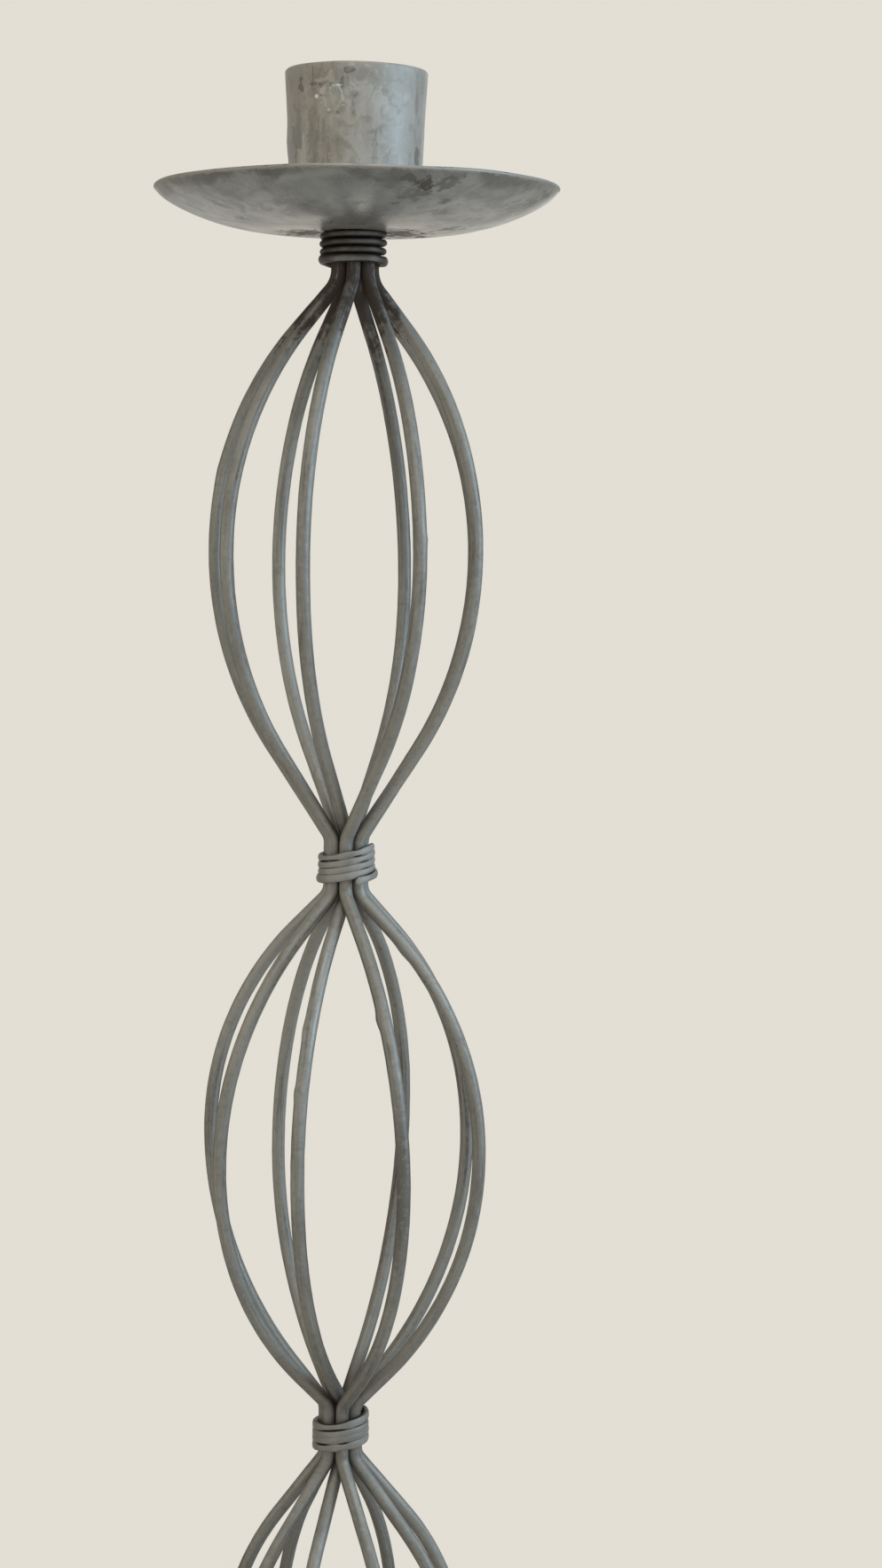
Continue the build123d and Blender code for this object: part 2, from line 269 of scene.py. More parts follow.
for v in bm.verts:
    rise = min(1.0, v.co.z / BASE_HEIGHT * 3)
    flat = min(1.0, max(0.0, hypot(v.co.x, v.co.y) - BASE_FLAT) / BASE_FLAT)
    spot = Vector((v.co.x, v.co.y, BASE_UNEVEN_SLICE)) / BASE_UNEVEN_SIZE
    v.co.z = max(0.0, v.co.z + noise.noise(spot) * BASE_UNEVEN * rise * flat)
base_piece = as_piece(bm, "base_dome", base_metal)
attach(base_piece, "root")
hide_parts("base_dish")


# Stem wires. Eight lengths of round steel wire, each in one piece from the base to the drip pan,
# bowed out three times by hand and zinc-coated after. The coating has run into a few small drips.
WIRE_COUNT = 8
WIRE_RADIUS = 0.00135
WAIST_WIRE_GAP = 0.00012
END_WIRE_GAP = 0.00026
WIRE_SIDES = 16
WIRE_STEP = 0.0011
LEAST_BEND_STEPS = 5
WAIST_BEND = 0.004
END_BEND = 0.006
WAIST_CORE = 0
END_CORE = 4
CORE_SET_BACK = 0.0004
WAIST_SHIFT = -0.0006
END_WAY_OUT = 86
LOWER_WAY_OUT = -110
UPPER_WAY_OUT = -116
WELD_LENGTH = 0.005
END_WRAP = 0.007205
WAIST_WRAP = 0.0084275
# From the lowest cage to the highest: sizes, how round each half is, and each wire's own way
CAGE_HEIGHTS = (0.1100, 0.1095, 0.1125)
BELLY_REACHES = (0.0276, 0.0276, 0.0265)
ROUND_SHARES = ((0.91, 0.92), (0.98, 0.977), (0.895, 0.97))
SWING_SHARES = (
    (0.03, 0.05, 0.04, -0.06, -0.03, 0.16, -0.03, 0.22),
    (0.05, 0.03, 0.16, 0.05, -0.08, 0.20, 0.30, 0.06),
    (0.05, 0.14, -0.06, -0.02, -0.04, 0.27, 0.49, 0.06),
)
REACH_SHARES = (
    (1.00, 1.00, 1.00, 1.00, 1.00, 1.00, 1.00, 1.00),
    (0.98, 1.00, 1.00, 1.00, 1.00, 1.00, 1.014, 1.005),
    (1.00, 1.00, 1.00, 1.00, 1.00, 1.00, 1.014, 1.005),
)
LIFT_SHARES = (
    (0.000, 0.000, 0.000, 0.000, 0.010, -0.010, -0.010, 0.000),
    (0.025, -0.023, 0.007, -0.004, 0.037, -0.052, 0.034, -0.009),
    (0.002, 0.005, 0.016, 0.005, -0.054, -0.013, 0.019, 0.014),
)
# Small drips of zinc: wire, height, the way they face, their length and how far they stand out
ZINC_DRIPS = (
    (1, 0.3176, (1, -0.6), 0.0008, 0.00020), (1, 0.2243, (-1, -0.3), 0.0013, 0.00040),
    (2, 0.2352, (-1, -0.5), 0.0013, 0.00042), (0, 0.2228, (-1, -0.3), 0.0015, 0.00022),
    (0, 0.2112, (-1, 0), 0.0012, 0.00018), (2, 0.3120, (-1, -0.4), 0.0012, 0.00020),
    (6, 0.3300, (-1, 0.2), 0.0024, 0.00014), (4, 0.2050, (0.4, 1), 0.0014, 0.00035),
    (3, 0.0900, (1, 0.4), 0.0014, 0.00035), (7, 0.0650, (-1, -0.3), 0.0014, 0.00030),
)
# Stretches of wire painted paler or darker, as painted light and painted shade where light falls unevenly on
# single wires: wire, height, half length, how much
LIT_AND_SHADED_STRETCHES = (
    (5, 0.232, 0.058, 0.80), (7, 0.340, 0.012, 0.40), (1, 0.192, 0.018, -0.50),
    (4, 0.185, 0.020, -0.35), (2, 0.345, 0.014, 0.40), (5, 0.316, 0.030, 0.85),
    (6, 0.240, 0.040, 0.35), (1, 0.236, 0.026, -0.30), (0, 0.340, 0.014, 0.45),
    (5, 0.348, 0.010, -0.35), (4, 0.341, 0.016, -0.30), (1, 0.340, 0.012, 0.25),
    (2, 0.357, 0.009, 0.70), (3, 0.352, 0.014, 0.80), (3, 0.100, 0.030, 0.35),
    (6, 0.080, 0.030, -0.30),
)
WAVER = 0.00010
WAVER_LENGTH = 0.021
WAVER_SEED = 5
WAVERS_APART = 7.3
HELD_REACH = 0.006
FREE_REACH = 0.012
PIT_DEPTH = 0.00003
PIT_SIZE = 0.0022
STREAK_LENGTH = 0.030
STREAKS_ROUND = 1.1
STREAKS_APART = 3.1
SHADE_AND_GRIME_REACH = 0.013
TOP_STAIN = (-0.021, -0.001)
WAIST_STAIN = 0.008
PAINTED_LIGHT_STRETCH = (0.012, 0.055)
WIRE_SHADE = (0.046, 0.045, 0.041, 1)
WIRE_GREY = (0.184, 0.181, 0.166, 1)
WIRE_PALE = (0.282, 0.278, 0.256, 1)
PATINA_AND_SHADE = (0.047, 0.034, 0.028, 1)

# Heights at which the bindings begin and end, in turn, from the base to the pan
levels = [BASE_HEIGHT]
for cage, wrap in zip(CAGE_HEIGHTS, (END_WRAP, WAIST_WRAP, WAIST_WRAP)):
    levels += [levels[-1] + wrap, levels[-1] + wrap + cage]
levels.append(levels[-1] + END_WRAP)
spacing = tau / WIRE_COUNT
packed = tau / (WIRE_COUNT - 1)
end_reach = (2 * WIRE_RADIUS + END_WIRE_GAP) / (2 * sin(packed / 2))
waist_reach = (2 * WIRE_RADIUS + WAIST_WIRE_GAP) / (2 * sin(packed / 2))
up = Vector((0, 0, 1))


def axes_of(tree, vector):
    """The three parts of a vector."""
    node = place(tree, "ShaderNodeSeparateXYZ")
    feed(tree, node, {0: vector})
    return node.outputs


def away_from(tree, height, level):
    """How far above or below a level a point lies."""
    return combine(tree, "ABSOLUTE", combine(tree, "SUBTRACT", height, level))


# Dark staining where the coating has worn and soot has settled, near the bindings by height alone, and painted
# light on the wires about the upper waist
waist_patina_and_light, outlet = new_effect("waist_patina_and_light", [], ["Top", "Waists", "Bright"])
where = object_place(waist_patina_and_light)
ragged = ramp(waist_patina_and_light, noise_over(waist_patina_and_light, where, 300.0, 2.0, 0.5), 0.3, 0.7, -0.0025, 0.0025)
height = plus(waist_patina_and_light, axes_of(waist_patina_and_light, where)["Z"], ragged)
near = []
for low, high, full in (levels[0:2] + [1.0], levels[2:4] + [1.0], levels[4:6] + [0.1]):
    off, half = away_from(waist_patina_and_light, height, (low + high) / 2), (high - low) / 2
    near.append(ramp(waist_patina_and_light, off, half, half + WAIST_STAIN, full, 0.0))
near_lower = combine(waist_patina_and_light, "MAXIMUM", near[0], near[1])
feed(waist_patina_and_light, outlet, {
    "Top": ramp(waist_patina_and_light, height, *(levels[6] + off for off in TOP_STAIN)),
    "Waists": combine(waist_patina_and_light, "MAXIMUM", near_lower, near[2]),
    "Bright": ramp(waist_patina_and_light, away_from(waist_patina_and_light, height, levels[4]), *PAINTED_LIGHT_STRETCH, 1.0, 0.0),
})


def attribute(tree, name, outlet="Fac"):
    """What a piece's own mesh keeps at each vertex under a name."""
    return place(tree, "ShaderNodeAttribute", attribute_name=name).outputs[outlet]


wire_metal, tree, shader, bloom = new_metal("wire_zinc", metallic=0.50, cloud_size=0.016)
patina_and_light = place(tree, "ShaderNodeGroup", node_tree=waist_patina_and_light).outputs
line = noise_over(tree, attribute(tree, "drawn", "Vector"), 1.5, 4.0, 0.6)
mottle = noise_over(tree, object_place(tree), 800.0, 3.0, 0.6, 0.5)
lit_and_shaded = attribute(tree, "lit_and_shaded")
tone = blend_colour(tree, times(tree, bloom["Cloud"], 0.35), WIRE_GREY, WIRE_PALE)
# Painted light on the wires above and below the upper waist
tone = blend_colour(tree, times(tree, patina_and_light["Bright"], 0.48), tone, WIRE_PALE)
tone = blend_colour(tree, ramp(tree, line, 0.52, 0.68, 0.0, 0.54), tone, WIRE_PALE)
# Painted light and painted shade on single stretches of wire
tone = blend_colour(tree, ramp(tree, lit_and_shaded, 0.0, 1.0), tone, WIRE_PALE)
tone = blend_colour(tree, ramp(tree, lit_and_shaded, 0.0, -1.0), tone, WIRE_SHADE)
tone = blend_colour(tree, ramp(tree, line, 0.46, 0.30, 0.0, 0.40), tone, WIRE_SHADE)
tone = blend_colour(tree, times(tree, bloom["Fleck"], 0.10), tone, WIRE_SHADE)
tone = blend_colour(tree, ramp(tree, mottle, 0.52, 0.70, 0.0, 0.20), tone, WIRE_SHADE)
tone = blend_colour(tree, ramp(tree, mottle, 0.47, 0.32, 0.0, 0.35), tone, WIRE_PALE)
tone = blend_colour(tree, times(tree, patina_and_light["Waists"], 0.14), tone, PATINA_AND_SHADE)
stain_and_shade = times(tree, patina_and_light["Top"], 1.20)
stain_and_shade = plus(tree, stain_and_shade, ramp(tree, line, 0.3, 0.7, 0.25, -0.25))
stain_and_shade = plus(tree, stain_and_shade, ramp(tree, mottle, 0.3, 0.7, 0.20, -0.20))
# Darker on the sides that face into the bundle and paler on the outer crest: painted shade, with soot
stain_and_shade = plus(tree, stain_and_shade, ramp(tree, attribute(tree, "tucked"), 0.03, 0.45, -0.30, 0.22))
stain_and_shade = plus(tree, stain_and_shade, ramp(tree, lit_and_shaded, 0.0, 1.0, 0.0, -0.40))
stain_and_shade = ramp(tree, stain_and_shade, 0.22, 0.90, 0.0, 0.88)
tone = blend_colour(tree, stain_and_shade, tone, PATINA_AND_SHADE)
# Painted shade, with grime, on the inward sides of the wires close to the bindings
tone = blend_colour(tree, ramp(tree, attribute(tree, "shade_and_grime"), 0.1, 0.9, 0.0, 0.80), tone, PATINA_AND_SHADE)
feed(tree, shader, {
    "Base Color": tone,
    "Metallic": combine(tree, "SUBTRACT", 0.50, times(tree, stain_and_shade, 0.45)),
    "Roughness": plus(tree, ramp(tree, line, 0.3, 0.7, 0.58, 0.51), times(tree, stain_and_shade, 0.26)),
    "Specular IOR Level": 0.15,
    "Specular Tint": (0.12, 0.12, 0.12, 1),
})
set_bump(tree, shader, bloom["Grain"], 0.00002)


def wire_seat(k, floor):
    """Where wire k stands at one of the eight levels: one in the middle and seven close round it."""
    core, way_out, reach, shift = END_CORE, END_WAY_OUT, end_reach, 0.0
    if floor in (2, 3, 4, 5):
        core, reach, shift = WAIST_CORE, waist_reach, WAIST_SHIFT
        way_out = LOWER_WAY_OUT if floor < 4 else UPPER_WAY_OUT
    turn = (k - core) % WIRE_COUNT
    way = radians(way_out) + (turn - 0.5) * packed
    if turn == 0:
        way, reach = radians(way_out), -CORE_SET_BACK
    return Vector((shift + reach * cos(way), reach * sin(way), levels[floor]))


def draw_on(bm, rim, way, steps=None):
    """Carries the open rim of a wire straight on, in short steps, and returns the new rim."""
    steps = steps or max(1, round(way.length / WIRE_STEP))
    for _ in range(steps):
        made = bmesh.ops.extrude_edge_only(bm, edges=rim)["geom"]
        rim = only(made, bmesh.types.BMEdge)
        bmesh.ops.translate(bm, verts=only(made, bmesh.types.BMVert), vec=way / steps)
    return rim


def bend_on(bm, rim, centre, axis, angle, radius):
    """Carries the open rim of a wire round a bend and returns the new rim."""
    steps = max(LEAST_BEND_STEPS, round(abs(angle) * radius / WIRE_STEP))
    made = bmesh.ops.spin(bm, geom=rim, cent=centre, axis=axis, angle=angle, steps=steps)
    return only(made["geom_last"], bmesh.types.BMEdge)


def half_cage(waist, belly, bend, share):
    """The way out, the wide radius, the lean and the straight of half a cage, from a waist to its belly."""
    out = Vector((belly.x - waist.x, belly.y - waist.y, 0))
    reach, rise = out.length, abs(belly.z - waist.z)
    wide = share * ((reach ** 2 + rise ** 2) / (2 * reach) - bend)
    across = reach - wide - bend
    lean = atan2(across, rise) + asin((bend + wide) / hypot(across, rise))
    straight = sqrt(across ** 2 + rise ** 2 - (bend + wide) ** 2)
    return out.normalized(), wide, lean, straight


def stretch(off, half):
    """Full within half a length of a place and nothing past it, with soft ends."""
    return exp(-(off / half) ** 4)


noise.seed_set(WAVER_SEED)
for k in range(WIRE_COUNT):
    shortened = WELD_LENGTH if k == END_CORE else 0
    bm = bmesh.new()
    bmesh.ops.create_circle(bm, cap_ends=True, segments=WIRE_SIDES, radius=WIRE_RADIUS,
                            matrix=Matrix.Translation(wire_seat(k, 0) + up * shortened))
    rim = bm.edges[:]
    for cage in range(3):
        bottom, top = wire_seat(k, 2 * cage + 1), wire_seat(k, 2 * cage + 2)
        reach = BELLY_REACHES[cage] * REACH_SHARES[cage][k]
        way = (k - 0.5 + SWING_SHARES[cage][k]) * spacing - pi / 2
        belly = Vector((reach * cos(way), reach * sin(way),
                        bottom.z + (top.z - bottom.z) * (0.5 + LIFT_SHARES[cage][k])))
        bound = levels[2 * cage + 1] - levels[2 * cage] - (shortened if cage == 0 else 0)
        rim = draw_on(bm, rim, up * bound)
        bend = END_BEND if cage == 0 else WAIST_BEND
        out, wide, lean, straight = half_cage(bottom, belly, bend, ROUND_SHARES[cage][0])
        rim = bend_on(bm, rim, bottom + out * bend, up.cross(out), lean, bend)
        rim = draw_on(bm, rim, (up * cos(lean) + out * sin(lean)) * straight)
        rim = bend_on(bm, rim, belly - out * wide, up.cross(out), -lean, wide)
        bend = END_BEND if cage == 2 else WAIST_BEND
        out, wide, lean, straight = half_cage(top, belly, bend, ROUND_SHARES[cage][1])
        rim = bend_on(bm, rim, belly - out * wide, out.cross(up), lean, wide)
        rim = draw_on(bm, rim, (up * cos(lean) - out * sin(lean)) * straight)
        rim = bend_on(bm, rim, top + out * bend, out.cross(up), -lean, bend)
    rim = draw_on(bm, rim, up * (levels[7] - levels[6] - shortened))
    bmesh.ops.holes_fill(bm, edges=rim, sides=WIRE_SIDES)
    bmesh.ops.recalc_face_normals(bm, faces=bm.faces[:])
    bm.normal_update()
    drips = [drip[1:] for drip in ZINC_DRIPS if drip[0] == k]
    stretches = [wear_and_light[1:] for wear_and_light in LIT_AND_SHADED_STRETCHES if wear_and_light[0] == k]
    drawn = bm.verts.layers.float_vector.new("drawn")
    shade_and_grime = bm.verts.layers.float.new("shade_and_grime")
    lit_and_shaded = bm.verts.layers.float.new("lit_and_shaded")
    tucked = bm.verts.layers.float.new("tucked")
    for v in bm.verts:
        # How much painted light (above 0) and painted shade (below 0) each stretch of this wire takes
        v[lit_and_shaded] = sum(much * stretch(v.co.z - level, half) for level, half, much in stretches)
        off = min(max(low - v.co.z, v.co.z - high, 0.0) for low, high in zip(levels[::2], levels[1::2]))
        inward = 0.5 - v.normal.dot(Vector((v.co.x, v.co.y, 0)).normalized())
        # tucked: how far a face turns into the bundle, for painted shade with soot on the inner sides
        v[tucked] = 0.25 + inward / 2
        # Painted shade and grime: strongest on inward faces within reach of a binding
        v[shade_and_grime] = max(0.0, 1 - off / SHADE_AND_GRIME_REACH) * min(1.0, max(0.0, inward / 0.7))
        v[drawn] = v.normal * STREAKS_ROUND + Vector((k * STREAKS_APART, 0, v.co.z / STREAK_LENGTH))
        slack = min(1.0, max(0.0, hypot(v.co.x, v.co.y) - HELD_REACH) / FREE_REACH)
        waver = noise.noise_vector(Vector((k * WAVERS_APART, 0, v.co.z / WAVER_LENGTH))) * WAVER * slack
        pits = noise.noise(v.co / PIT_SIZE + Vector((k, 0, 0))) * PIT_DEPTH
        swell = 0.0
        for level, face, length, proud in drips:
            facing = v.normal.dot(Vector((*face, 0)).normalized())
            if facing > 0:
                swell += proud * facing ** 2 * exp(-((v.co.z - level) / length) ** 2)
        v.co += v.normal * (pits + swell) + Vector((waver.x, waver.y, 0))
    wire = as_piece(bm, f"bowed_wire_{k + 1}", wire_metal, 60)
    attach(wire, "root")
    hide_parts(f"stem_wire_{k + 1}")


# Welds. At each end of the bundle a slug of weld metal fills the middle of the ring of wires and
# holds their ends to the sheet. It is rough and dark, and only its edge shows between the wires.
WELD_GAP = 0.00008
WELD_RADIUS = end_reach - WIRE_RADIUS - WELD_GAP
WELD_SIDES = 28
WELD_STEPS = 10
WELD_LUMP = 0.00012
WELD_LUMP_SIZE = 0.0011
WELD_GREY = (0.085, 0.080, 0.073, 1)
WELD_PALE = (0.150, 0.143, 0.132, 1)

weld_metal, tree, shader, bloom = new_metal("weld_bead", metallic=0.45, cloud_size=0.0022)
tone = blend_colour(tree, bloom["Cloud"], WELD_GREY, WELD_PALE)
tone = blend_colour(tree, bloom["Fleck"], tone, PATINA_AND_SHADE)
feed(tree, shader, {"Base Color": tone, "Roughness": ramp(tree, bloom["Cloud"], 0.0, 1.0, 0.42, 0.66)})
set_bump(tree, shader, bloom["Cloud"], 0.00012)

for name, node, low in (
    ("foot_slug", "foot_weld", levels[0]),
    ("top_slug", "top_weld", levels[7] - WELD_LENGTH),
):
    bm = bmesh.new()
    bmesh.ops.create_circle(bm, cap_ends=True, segments=WELD_SIDES, radius=WELD_RADIUS,
                            matrix=Matrix.Translation((0, 0, low)))
    rim = draw_on(bm, bm.edges[:], up * WELD_LENGTH, WELD_STEPS)
    bmesh.ops.holes_fill(bm, edges=rim, sides=WELD_SIDES)
    bmesh.ops.recalc_face_normals(bm, faces=bm.faces[:])
    for v in bm.verts:
        lump = noise.noise(v.co / WELD_LUMP_SIZE) * WELD_LUMP - WELD_LUMP
        v.co.x += lump * v.co.x / WELD_RADIUS
        v.co.y += lump * v.co.y / WELD_RADIUS
    slug = as_piece(bm, name, weld_metal)
    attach(slug, "root")
    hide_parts(node)


# Bindings. Soft thin wire wound by hand round the bundle, turn on turn, at the foot, the two waists
# and the top, and coated with the rest, so that zinc bridges some turns. The top one is stained dark.
LACE_SIDES = 16
LACE_STEPS = 60
LACE_LUMP = 0.00004
LACE_LUMP_SIZE = 0.0011
LACE_TIPS = (0.08, 0.2, 0.4, 0.65, 1.0)
FIRST_TURNS = 1.25
KICK_TURNS = 0.5
TURN_DARKENING_RISE = (0.0017, 0.0023)
SIDE_SHADE = (0.0036, 0.0062)
TOP_SIDE_SHADE = (0.0034, 0.0060)
LACE_GREY = (0.180, 0.177, 0.162, 1)
LACE_PALE = (0.255, 0.252, 0.236, 1)
LACE_DARK = (0.018, 0.013, 0.011, 1)
LACE_SOOT = (0.027, 0.019, 0.015, 1)
# How each lies: its level, start and turns, the rise of a turn, its tilt up to the right and to the front and
# its shift aside, then its slack round the bundle, the spread and drop of the first turn and the kick of the
# last, then its section and how much the first turn swells, and last the pulls up or down (turn, width, shift)
# and the gapes between turns (turn, width, share)
LACINGS = (
    dict(name="foot_lacing", node="foot_binding", floor=0, low=0.00030, start=100, turns=3.85,
         rise=0.00150, tilt=-0.02, nod=0.0, aside=0.0,
         slack=0.00020, spread=0.00030, drop=0.00024, kick=0.0,
         thick=0.00150, deep=1.0, tall=0.94, square=2.0, swell=0.26, pulls=(), gapes=()),
    dict(name="lower_lacing", node="lower_binding", floor=2, low=0.00010, start=18, turns=4.04,
         rise=0.00146, tilt=0.10, nod=0.11, aside=WAIST_SHIFT,
         slack=0.00006, spread=0.0, drop=0.0, kick=0.0006,
         thick=0.00146, deep=0.80, tall=1.22, square=3.0, swell=0.0,
         pulls=((2.70, 0.32, -0.00014), (1.70, 0.32, 0.00014)),
         gapes=((3.644, 0.085, 0.44), (2.644, 0.085, 0.20), (0.583, 0.050, 0.40),
                (1.583, 0.050, 0.20), (0.716, 0.030, 0.34), (1.716, 0.030, 0.16))),
    dict(name="upper_lacing", node="upper_binding", floor=4, low=0.00040, start=-72, turns=4.18,
         rise=0.00142, tilt=0.17, nod=0.0, aside=WAIST_SHIFT + 0.00010,
         slack=0.00004, spread=0.00060, drop=-0.00010, kick=0.0,
         thick=0.00146, deep=0.74, tall=1.10, square=2.2, swell=0.12, pulls=(),
         gapes=((3.823, 0.080, 0.40), (2.823, 0.080, 0.18), (4.013, 0.030, 0.28), (3.043, 0.045, 0.24),
                (2.073, 0.035, 0.16), (0.103, 0.060, 0.28), (1.103, 0.060, 0.18))),
    dict(name="top_lacing", node="top_binding", floor=6, low=0.00055, start=100, turns=3.85,
         rise=0.00150, tilt=-0.02, nod=0.0, aside=-0.0003,
         slack=0.00026, spread=0.00034, drop=0.00024, kick=0.0,
         thick=0.00150, deep=1.0, tall=0.92, square=2.0, swell=0.26,
         pulls=((0.22, 0.13, 0.00034), (0.50, 0.12, 0.00010), (0.78, 0.16, -0.00050),
                (1.78, 0.16, -0.00022), (2.78, 0.16, -0.00010)),
         gapes=((0.80, 0.13, -0.30),)),
)

lace_metal, tree, shader, bloom = new_metal("binding_zinc", metallic=0.22, cloud_size=0.007)
patina_and_light = place(tree, "ShaderNodeGroup", node_tree=waist_patina_and_light).outputs
axes = axes_of(tree, object_place(tree))
tone = blend_colour(tree, bloom["Cloud"], LACE_GREY, LACE_PALE)
# The lowest turn of the top lacing takes two thirds of the darkening of the turns above it
turn_darkening = ramp(tree, axes["Z"], *(levels[6] + off for off in TURN_DARKENING_RISE), 0.66, 1.0)
smoked = times(tree, patina_and_light["Top"], turn_darkening)
uneven = times(tree, smoked, ramp(tree, bloom["Cloud"], 0.0, 1.0, 0.82, 0.60))
tone = blend_colour(tree, uneven, tone, LACE_SOOT)
tone = blend_colour(tree, times(tree, patina_and_light["Waists"], 0.16), tone, PATINA_AND_SHADE)
# Painted shade in the grooves between turns and on the flanks that face up, down and in, deeper on the smoked
# top lacing
groove_shade = plus(tree, attribute(tree, "groove"), times(tree, smoked, 0.40))
tone = blend_colour(tree, ramp(tree, groove_shade, 0.42, 0.72, 0.0, 0.97), tone, LACE_DARK)
# Painted shade on the left and right sides of each lacing, deeper on the smoked top one
aside = combine(tree, "ABSOLUTE", axes["X"])
tone = blend_colour(tree, ramp(tree, aside, *SIDE_SHADE, 0.0, 0.25), tone, LACE_DARK)
tone = blend_colour(tree, times(tree, ramp(tree, aside, *TOP_SIDE_SHADE), smoked), tone, LACE_DARK)
feed(tree, shader, {
    "Base Color": tone,
    "Metallic": ramp(tree, smoked, 0.0, 1.0, 0.22, 0.05),
    "Roughness": ramp(tree, bloom["Cloud"], 0.0, 1.0, 0.42, 0.56),
    "Specular IOR Level": 0.20,
})
set_bump(tree, shader, bloom["Grain"], 0.00004)


def lace_sizes(lace):
    """Half the lace's thickness, and the reach of its middle when it lies close on the bundle."""
    half = lace["thick"] / 2
    return half, (end_reach if lace["floor"] in (0, 6) else waist_reach) + WIRE_RADIUS + half * lace["deep"]


def lie(lace, number, t):
    """How the lace lies t turns along: its way, reach and height, and its section's halves."""
    half, bundle = lace_sizes(lace)
    way = radians(lace["start"]) + t * tau
    first = max(0.0, min(1.0, FIRST_TURNS - t))
    last = max(0.0, 1 - (lace["turns"] - t) / KICK_TURNS)
    loose = noise.noise(Vector((2 * cos(way), 2 * sin(way), t * 0.8 + number * 5)))
    reach = bundle + lace["slack"] * (1 + loose) + lace["spread"] * first
    height = levels[lace["floor"]] + lace["low"] + half + t * lace["rise"]
    height += bundle * (lace["tilt"] * cos(way) - lace["nod"] * sin(way))
    height += lace["kick"] * last ** 2 - lace["drop"] * first
    tall = half * lace["tall"] * (1 + lace["swell"] * first)
    for turn, width, shift in lace["pulls"]:
        height += shift * stretch(t - turn, width)
    for turn, width, share in lace["gapes"]:
        tall -= half * share * stretch(t - turn, width)
    to_end = min(t, lace["turns"] - t) * tau * bundle / half
    ending = sqrt(max(0.02, 1 - max(0.0, 1 - to_end) ** 2))
    return way, reach, height, tall * ending, half * lace["deep"] * ending


for number, lace in enumerate(LACINGS):
    half, bundle = lace_sizes(lace)
    axis = Vector((lace["aside"], 0, 0))
    tips = [half * share / (tau * bundle) for share in LACE_TIPS]
    count = round(lace["turns"] * LACE_STEPS)
    stations = tips + [lace["turns"] * i / count for i in range(2, count - 1)]
    stations += [lace["turns"] - tip for tip in reversed(tips)] + [lace["turns"]]
    bm = bmesh.new()
    bmesh.ops.create_circle(bm, cap_ends=True, segments=LACE_SIDES, radius=1.0)
    for v in bm.verts:
        v.co.x = copysign(abs(v.co.x) ** (2 / lace["square"]), v.co.x)
        v.co.y = copysign(abs(v.co.y) ** (2 / lace["square"]), v.co.y)
    way, reach, height, tall, deep = lie(lace, number, 0)
    start = Matrix.Translation(axis + up * height) @ Matrix.Rotation(way, 4, "Z")
    start = start @ Matrix.Translation((reach, 0, 0)) @ Matrix.Rotation(pi / 2, 4, "X")
    bmesh.ops.transform(bm, verts=bm.verts[:], matrix=start @ Matrix.Diagonal((deep, tall, 1, 1)))
    rim = bm.edges[:]
    for t in stations:
        next_way, next_reach, next_height, next_tall, next_deep = lie(lace, number, t)
        made = bmesh.ops.spin(bm, geom=rim, cent=axis, axis=up, angle=next_way - way, steps=1,
                              dvec=up * (next_height - height))
        rim = only(made["geom_last"], bmesh.types.BMEdge)
        outward = Vector((cos(next_way), sin(next_way), 0))
        centre = axis + outward * reach + up * next_height
        for v in {v for edge in rim for v in edge.verts}:
            off = v.co - centre
            out = next_reach - reach + off.dot(outward) * next_deep / deep
            v.co = centre + outward * out + up * off.z * next_tall / tall
        way, reach, height, tall, deep = next_way, next_reach, next_height, next_tall, next_deep
    bmesh.ops.holes_fill(bm, edges=rim, sides=LACE_SIDES)
    bmesh.ops.recalc_face_normals(bm, faces=bm.faces[:])
    bm.normal_update()
    # groove: how far each face turns from outward, which the finish darkens as painted shade
    groove = bm.verts.layers.float.new("groove")
    for v in bm.verts:
        outward = Vector((v.co.x - axis.x, v.co.y, 0)).normalized()
        v[groove] = 1 - max(0.0, v.normal.dot(outward))
        v.co += v.normal * noise.noise(v.co / LACE_LUMP_SIZE) * LACE_LUMP
    lacing = as_piece(bm, lace["name"], lace_metal, 60)
    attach(lacing, "root")
    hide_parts(lace["node"])


# Drip pan. A thin sheet saucer, pressed with a flat floor and a plain cut rim, zinc-coated. Its
# underside is clouded and smoked, with a patch where the finish has come away, and its rim is worn.
PAN_RADIUS = 0.039
PAN_DEPTH = 0.0077
PAN_FLAT = 0.015
PAN_SHEET = 0.0009
PAN_UNEVEN = 0.00016
PAN_UNEVEN_SIZE = 0.019
PAN_FREE = 0.012
PAN_ASIDE = 0.00037
PAN_TILT = 0.009
PAN_FULLNESS = 0.00068
PAN_FULL_POWER = 2.2
PAN_RIM_POWER = 22
# Reaches between which the edge darkens, the floor takes a painted reflection, the rim browns and wears and the
# metal shows
PAN_EDGE_DARK = (0.030, 0.0385)
PAN_FLOOR_REFLECTION = (0.030, 0.012)
PAN_BROWN = (0.0368, 0.0387)
PAN_WORN = (0.03880, 0.03894)
PAN_BARE = (0.014, 0.024)
SPOT_BROWN = (0.062, 0.045, 0.028, 1)
PAN_REFLECTION_TONE = (0.340, 0.325, 0.302, 1)
